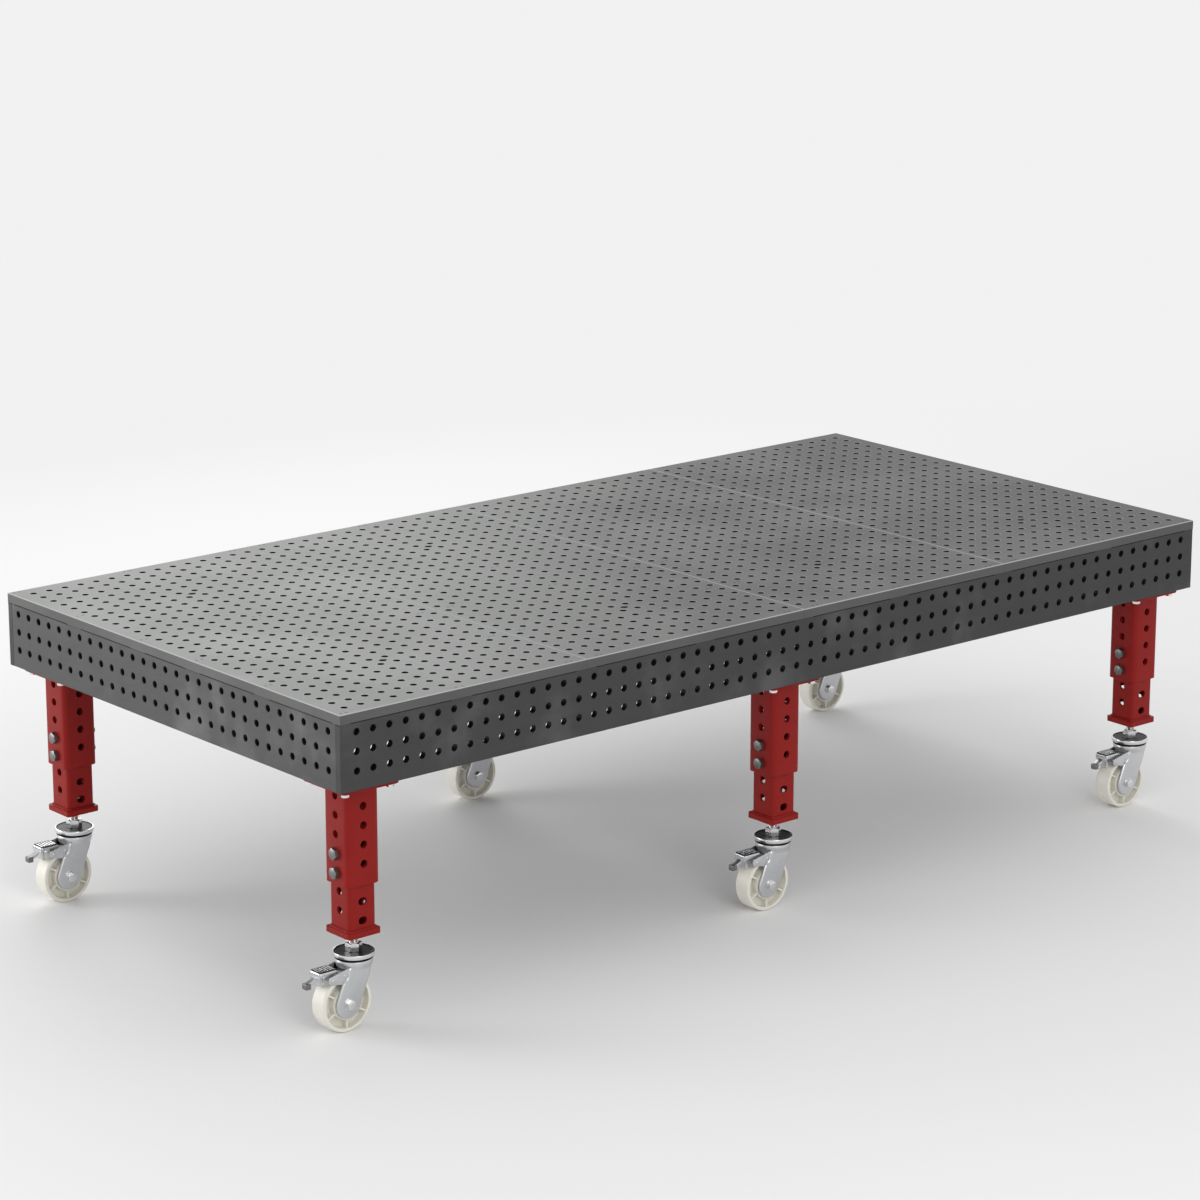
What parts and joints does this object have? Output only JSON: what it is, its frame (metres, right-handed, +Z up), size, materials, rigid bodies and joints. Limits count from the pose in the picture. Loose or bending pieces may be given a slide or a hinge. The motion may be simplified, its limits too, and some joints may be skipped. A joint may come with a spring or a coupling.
{
  "type": "welding fixture table",
  "caption": "Long steel welding table with a grid of fixture holes in its top and sides, on telescopic square legs with braked swivel casters.",
  "frame": {"origin": "on the floor, under the middle of the whole table's box, brake levers included", "axes": "+X along the long side, away from the end where the brake levers stand out, +Y to the back long side, +Z up"},
  "size_m": [3.1406, 1.524, 0.8699],
  "materials": {
    "ground_steel": "ground satin steel with faint smudges",
    "side_steel": "dark mill steel, lightly brushed",
    "rib_steel": "bare dark plate",
    "zinc": "zinc plated",
    "red_paint": "red powder coat",
    "nylon": "cream nylon"
  },
  "bodies": {
    "table_body": {"top_plate_1": "ground_steel", "top_plate_2": "ground_steel", "top_plate_3": "ground_steel", "top_plate_4": "ground_steel", "side_front": "side_steel", "side_back": "side_steel", "side_left": "side_steel", "side_right": "side_steel", "ribs": "rib_steel", "leg_pads": "rib_steel", "leg_flanges": "red_paint", "flange_bolts": "zinc", "leg_tube_1": "red_paint", "leg_tube_2": "red_paint", "leg_tube_3": "red_paint", "leg_tube_4": "red_paint", "leg_tube_5": "red_paint", "leg_tube_6": "red_paint"},
    "leg_body_1": {"inner_leg_1": "red_paint", "stem_1": "zinc"},
    "lock_body_1": {"lock_bolts_1": "zinc"},
    "fork_body_1": {"fork_1": "zinc", "axle_bolt_1": "zinc"},
    "wheel_body_1": {"wheel_1": "nylon"},
    "pedal_body_1": {"brake_pedal_1": "zinc"},
    "leg_body_2": {"inner_leg_2": "red_paint", "stem_2": "zinc"},
    "lock_body_2": {"lock_bolts_2": "zinc"},
    "fork_body_2": {"fork_2": "zinc", "axle_bolt_2": "zinc"},
    "wheel_body_2": {"wheel_2": "nylon"},
    "pedal_body_2": {"brake_pedal_2": "zinc"},
    "leg_body_3": {"inner_leg_3": "red_paint", "stem_3": "zinc"},
    "lock_body_3": {"lock_bolts_3": "zinc"},
    "fork_body_3": {"fork_3": "zinc", "axle_bolt_3": "zinc"},
    "wheel_body_3": {"wheel_3": "nylon"},
    "pedal_body_3": {"brake_pedal_3": "zinc"},
    "leg_body_4": {"inner_leg_4": "red_paint", "stem_4": "zinc"},
    "lock_body_4": {"lock_bolts_4": "zinc"},
    "fork_body_4": {"fork_4": "zinc", "axle_bolt_4": "zinc"},
    "wheel_body_4": {"wheel_4": "nylon"},
    "pedal_body_4": {"brake_pedal_4": "zinc"},
    "leg_body_5": {"inner_leg_5": "red_paint", "stem_5": "zinc"},
    "lock_body_5": {"lock_bolts_5": "zinc"},
    "fork_body_5": {"fork_5": "zinc", "axle_bolt_5": "zinc"},
    "wheel_body_5": {"wheel_5": "nylon"},
    "pedal_body_5": {"brake_pedal_5": "zinc"},
    "leg_body_6": {"inner_leg_6": "red_paint", "stem_6": "zinc"},
    "lock_body_6": {"lock_bolts_6": "zinc"},
    "fork_body_6": {"fork_6": "zinc", "axle_bolt_6": "zinc"},
    "wheel_body_6": {"wheel_6": "nylon"},
    "pedal_body_6": {"brake_pedal_6": "zinc"}
  },
  "joints": [
    {"name": "leg_height_1", "type": "slide", "parent": "table_body", "child": "leg_body_1", "axis": [0, 0, 1], "range_m": [-0.2032, 0.1016]},
    {"name": "lock_pull_1", "type": "slide", "parent": "table_body", "child": "lock_body_1", "axis": [-1, 0, 0], "range_m": [0, 0.13]},
    {"name": "swivel_1", "type": "hinge", "parent": "leg_body_1", "child": "fork_body_1", "pos_m": [-1.41425, -0.6477, 0.176], "axis": [0, 0, 1], "continuous": true},
    {"name": "wheel_spin_1", "type": "hinge", "parent": "fork_body_1", "child": "wheel_body_1", "pos_m": [-1.45425, -0.6477, 0.0762], "axis": [0, 1, 0], "continuous": true},
    {"name": "pedal_press_1", "type": "hinge", "parent": "fork_body_1", "child": "pedal_body_1", "pos_m": [-1.50225, -0.6477, 0.149], "axis": [0, -1, 0], "range_deg": [0, 12]},
    {"name": "leg_height_2", "type": "slide", "parent": "table_body", "child": "leg_body_2", "axis": [0, 0, 1], "range_m": [-0.2032, 0.1016]},
    {"name": "lock_pull_2", "type": "slide", "parent": "table_body", "child": "lock_body_2", "axis": [-1, 0, 0], "range_m": [0, 0.13]},
    {"name": "swivel_2", "type": "hinge", "parent": "leg_body_2", "child": "fork_body_2", "pos_m": [0.02085, -0.6477, 0.176], "axis": [0, 0, 1], "continuous": true},
    {"name": "wheel_spin_2", "type": "hinge", "parent": "fork_body_2", "child": "wheel_body_2", "pos_m": [-0.01915, -0.6477, 0.0762], "axis": [0, 1, 0], "continuous": true},
    {"name": "pedal_press_2", "type": "hinge", "parent": "fork_body_2", "child": "pedal_body_2", "pos_m": [-0.06715, -0.6477, 0.149], "axis": [0, -1, 0], "range_deg": [0, 12]},
    {"name": "leg_height_3", "type": "slide", "parent": "table_body", "child": "leg_body_3", "axis": [0, 0, 1], "range_m": [-0.2032, 0.1016]},
    {"name": "lock_pull_3", "type": "slide", "parent": "table_body", "child": "lock_body_3", "axis": [-1, 0, 0], "range_m": [0, 0.13]},
    {"name": "swivel_3", "type": "hinge", "parent": "leg_body_3", "child": "fork_body_3", "pos_m": [1.45595, -0.6477, 0.176], "axis": [0, 0, 1], "continuous": true},
    {"name": "wheel_spin_3", "type": "hinge", "parent": "fork_body_3", "child": "wheel_body_3", "pos_m": [1.41595, -0.6477, 0.0762], "axis": [0, 1, 0], "continuous": true},
    {"name": "pedal_press_3", "type": "hinge", "parent": "fork_body_3", "child": "pedal_body_3", "pos_m": [1.36795, -0.6477, 0.149], "axis": [0, -1, 0], "range_deg": [0, 12]},
    {"name": "leg_height_4", "type": "slide", "parent": "table_body", "child": "leg_body_4", "axis": [0, 0, 1], "range_m": [-0.2032, 0.1016]},
    {"name": "lock_pull_4", "type": "slide", "parent": "table_body", "child": "lock_body_4", "axis": [-1, 0, 0], "range_m": [0, 0.13]},
    {"name": "swivel_4", "type": "hinge", "parent": "leg_body_4", "child": "fork_body_4", "pos_m": [-1.41425, 0.6477, 0.176], "axis": [0, 0, 1], "continuous": true},
    {"name": "wheel_spin_4", "type": "hinge", "parent": "fork_body_4", "child": "wheel_body_4", "pos_m": [-1.45425, 0.6477, 0.0762], "axis": [0, 1, 0], "continuous": true},
    {"name": "pedal_press_4", "type": "hinge", "parent": "fork_body_4", "child": "pedal_body_4", "pos_m": [-1.50225, 0.6477, 0.149], "axis": [0, -1, 0], "range_deg": [0, 12]},
    {"name": "leg_height_5", "type": "slide", "parent": "table_body", "child": "leg_body_5", "axis": [0, 0, 1], "range_m": [-0.2032, 0.1016]},
    {"name": "lock_pull_5", "type": "slide", "parent": "table_body", "child": "lock_body_5", "axis": [-1, 0, 0], "range_m": [0, 0.13]},
    {"name": "swivel_5", "type": "hinge", "parent": "leg_body_5", "child": "fork_body_5", "pos_m": [0.02085, 0.6477, 0.176], "axis": [0, 0, 1], "continuous": true},
    {"name": "wheel_spin_5", "type": "hinge", "parent": "fork_body_5", "child": "wheel_body_5", "pos_m": [-0.01915, 0.6477, 0.0762], "axis": [0, 1, 0], "continuous": true},
    {"name": "pedal_press_5", "type": "hinge", "parent": "fork_body_5", "child": "pedal_body_5", "pos_m": [-0.06715, 0.6477, 0.149], "axis": [0, -1, 0], "range_deg": [0, 12]},
    {"name": "leg_height_6", "type": "slide", "parent": "table_body", "child": "leg_body_6", "axis": [0, 0, 1], "range_m": [-0.2032, 0.1016]},
    {"name": "lock_pull_6", "type": "slide", "parent": "table_body", "child": "lock_body_6", "axis": [-1, 0, 0], "range_m": [0, 0.13]},
    {"name": "swivel_6", "type": "hinge", "parent": "leg_body_6", "child": "fork_body_6", "pos_m": [1.45595, 0.6477, 0.176], "axis": [0, 0, 1], "continuous": true},
    {"name": "wheel_spin_6", "type": "hinge", "parent": "fork_body_6", "child": "wheel_body_6", "pos_m": [1.41595, 0.6477, 0.0762], "axis": [0, 1, 0], "continuous": true},
    {"name": "pedal_press_6", "type": "hinge", "parent": "fork_body_6", "child": "pedal_body_6", "pos_m": [1.36795, 0.6477, 0.149], "axis": [0, -1, 0], "range_deg": [0, 12]}
  ]
}
